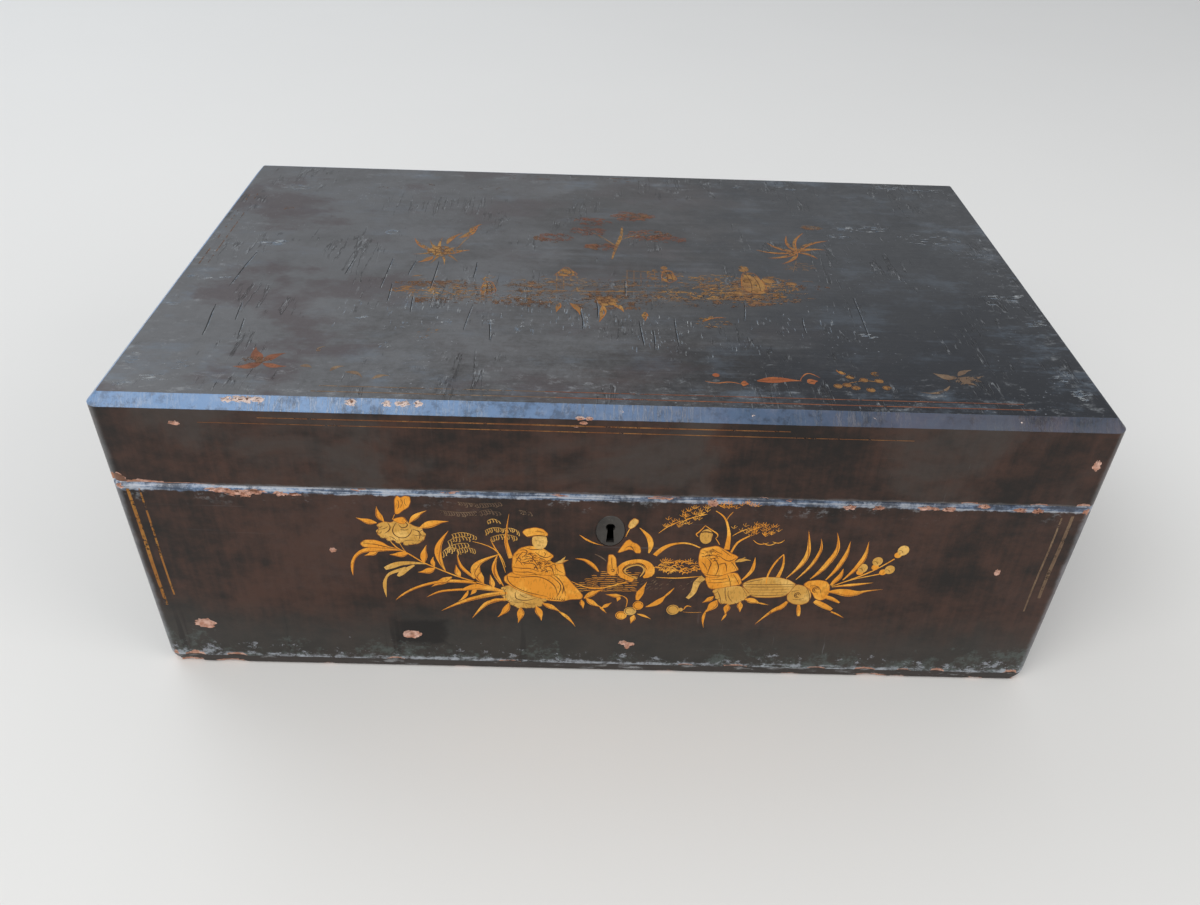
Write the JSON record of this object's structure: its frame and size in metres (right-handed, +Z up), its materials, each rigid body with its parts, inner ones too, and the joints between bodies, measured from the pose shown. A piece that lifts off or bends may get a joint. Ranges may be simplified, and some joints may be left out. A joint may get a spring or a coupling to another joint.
{
  "type": "lacquer work box",
  "caption": "Lacquered work box with a hinged lid, a box lock and a fitted lift-out tray with lidded cells, for sewing or art things.",
  "frame": {"origin": "centre of the underside of the bottom board", "axes": "+X along the front to the right, -Y towards the front with the keyhole, +Z up"},
  "size_m": [0.38, 0.228, 0.141],
  "materials": {
    "lacquer": "aged satin black lacquer with worn gilt decoration",
    "board": "plain board with a thin lacquer wash inside",
    "base_board": "board with worn dark lacquer",
    "tray_wood": "thin wood in satin black lacquer",
    "brass": "dulled brass",
    "iron": "old iron",
    "bone": "turned bone"
  },
  "bodies": {
    "case": {"case_front_board": "board", "case_back_board": "board", "case_left_board": "board", "case_right_board": "board", "case_bottom_board": "base_board", "bottom_nails": "iron", "case_lacquer": "lacquer", "tray_rest_front": "tray_wood", "tray_rest_back": "tray_wood", "tray_rest_left": "tray_wood", "tray_rest_right": "tray_wood", "lock_plate": "brass", "lock_cap": "brass", "lock_studs": "brass", "lock_spring": "iron", "key_pin": "iron", "lock_screws": "brass", "keyhole_escutcheon": "brass", "hinge_left_case_leaf": "brass", "hinge_left_pin": "iron", "hinge_right_case_leaf": "brass", "hinge_right_pin": "iron", "hinge_case_screws": "brass"},
    "lock_bolt": {"lock_bolt": "brass"},
    "lid": {"lid_front_board": "board", "lid_back_board": "board", "lid_left_board": "board", "lid_right_board": "board", "lid_top_panel": "board", "lid_lacquer": "lacquer", "hinge_left_lid_leaf": "brass", "hinge_right_lid_leaf": "brass", "hinge_lid_screws": "brass", "lock_link_plate": "brass", "lock_staples": "brass", "link_plate_screws": "brass"},
    "tray": {"tray_floor": "tray_wood", "tray_front_rail": "tray_wood", "tray_back_rail": "tray_wood", "tray_left_rail": "tray_wood", "tray_right_rail": "tray_wood", "tray_divider_left": "tray_wood", "tray_divider_right": "tray_wood", "tray_divider_front": "tray_wood", "tray_divider_back": "tray_wood", "tray_lid_ledges": "tray_wood", "tray_lift_knobs": "bone"},
    "cell_lid_front_left": {"tray_lid_front_left": "tray_wood", "tray_knob_front_left": "bone"},
    "cell_lid_front_right": {"tray_lid_front_right": "tray_wood", "tray_knob_front_right": "bone"},
    "cell_lid_back_left": {"tray_lid_back_left": "tray_wood", "tray_knob_back_left": "bone"},
    "cell_lid_back_right": {"tray_lid_back_right": "tray_wood", "tray_knob_back_right": "bone"}
  },
  "joints": [
    {"name": "lid_hinge", "type": "hinge", "parent": "case", "child": "lid", "pos_m": [0, 0.111, 0.102], "axis": [-1, 0, 0], "range_deg": [0, 100]},
    {"name": "bolt_slide", "type": "slide", "parent": "case", "child": "lock_bolt", "axis": [1, 0, 0], "range_m": [0, 0.005]},
    {"name": "tray_lift", "type": "slide", "parent": "case", "child": "tray", "axis": [0, 0, 1], "range_m": [0, 0.014]},
    {"name": "cell_lid_front_left_lift", "type": "slide", "parent": "tray", "child": "cell_lid_front_left", "axis": [0, 0, 1], "range_m": [0, 0.011]},
    {"name": "cell_lid_front_right_lift", "type": "slide", "parent": "tray", "child": "cell_lid_front_right", "axis": [0, 0, 1], "range_m": [0, 0.011]},
    {"name": "cell_lid_back_left_lift", "type": "slide", "parent": "tray", "child": "cell_lid_back_left", "axis": [0, 0, 1], "range_m": [0, 0.011]},
    {"name": "cell_lid_back_right_lift", "type": "slide", "parent": "tray", "child": "cell_lid_back_right", "axis": [0, 0, 1], "range_m": [0, 0.011]}
  ]
}
